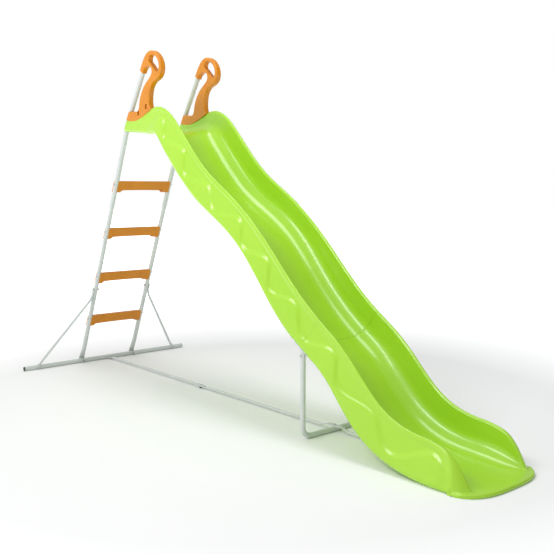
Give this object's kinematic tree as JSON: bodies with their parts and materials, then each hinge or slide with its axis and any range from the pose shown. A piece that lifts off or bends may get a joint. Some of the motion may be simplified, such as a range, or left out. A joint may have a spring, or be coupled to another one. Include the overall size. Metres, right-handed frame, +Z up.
{
  "type": "garden slide",
  "caption": "Garden slide with a wavy plastic chute, leaning tubular ladder with moulded steps, hooked hand grips and a U-shaped support foot.",
  "frame": {"origin": "middle of the footprint, on the ground", "axes": "+X from the ladder to the exit of the chute, +Y across the slide, +Z up"},
  "size_m": [3.201, 1.2, 1.9177],
  "materials": {
    "white_lacquer": "white powder-coated steel tube, semi-gloss",
    "lime_plastic": "blow-moulded polyethylene, glossy lime green",
    "orange_plastic": "injection-moulded plastic, satin orange",
    "black_plastic": "black plastic caps, satin",
    "zinc_steel": "zinc-plated steel fasteners"
  },
  "bodies": {
    "root": {"base_tube": "white_lacquer", "ladder_leg_lower_left": "white_lacquer", "ladder_leg_lower_right": "white_lacquer", "ladder_leg_upper_left": "white_lacquer", "ladder_leg_upper_right": "white_lacquer", "brace_left": "white_lacquer", "brace_right": "white_lacquer", "support_foot": "white_lacquer", "seam_plate": "white_lacquer", "ground_strut_rear": "white_lacquer", "ground_strut_middle": "white_lacquer", "ground_strut_front": "white_lacquer", "upper_chute": "lime_plastic", "lower_chute": "lime_plastic", "handle_left": "orange_plastic", "handle_right": "orange_plastic", "step_1": "orange_plastic", "step_2": "orange_plastic", "step_3": "orange_plastic", "step_4": "orange_plastic", "base_end_cap_left": "black_plastic", "base_end_cap_right": "black_plastic", "strut_cap_nut": "black_plastic", "leg_foot_bolts": "zinc_steel", "leg_foot_nuts": "zinc_steel", "brace_foot_bolts": "zinc_steel", "brace_foot_nuts": "zinc_steel", "brace_top_bolts": "zinc_steel", "brace_top_nuts": "zinc_steel", "step_screws": "zinc_steel", "chute_end_screws": "zinc_steel", "handle_screws": "zinc_steel", "support_bolts": "zinc_steel", "support_nuts": "zinc_steel", "seam_screws": "zinc_steel", "strut_bolts": "zinc_steel", "strut_tab_nut": "zinc_steel", "strut_insert_nut": "zinc_steel", "strut_front_screw": "zinc_steel"}
  },
  "joints": []
}
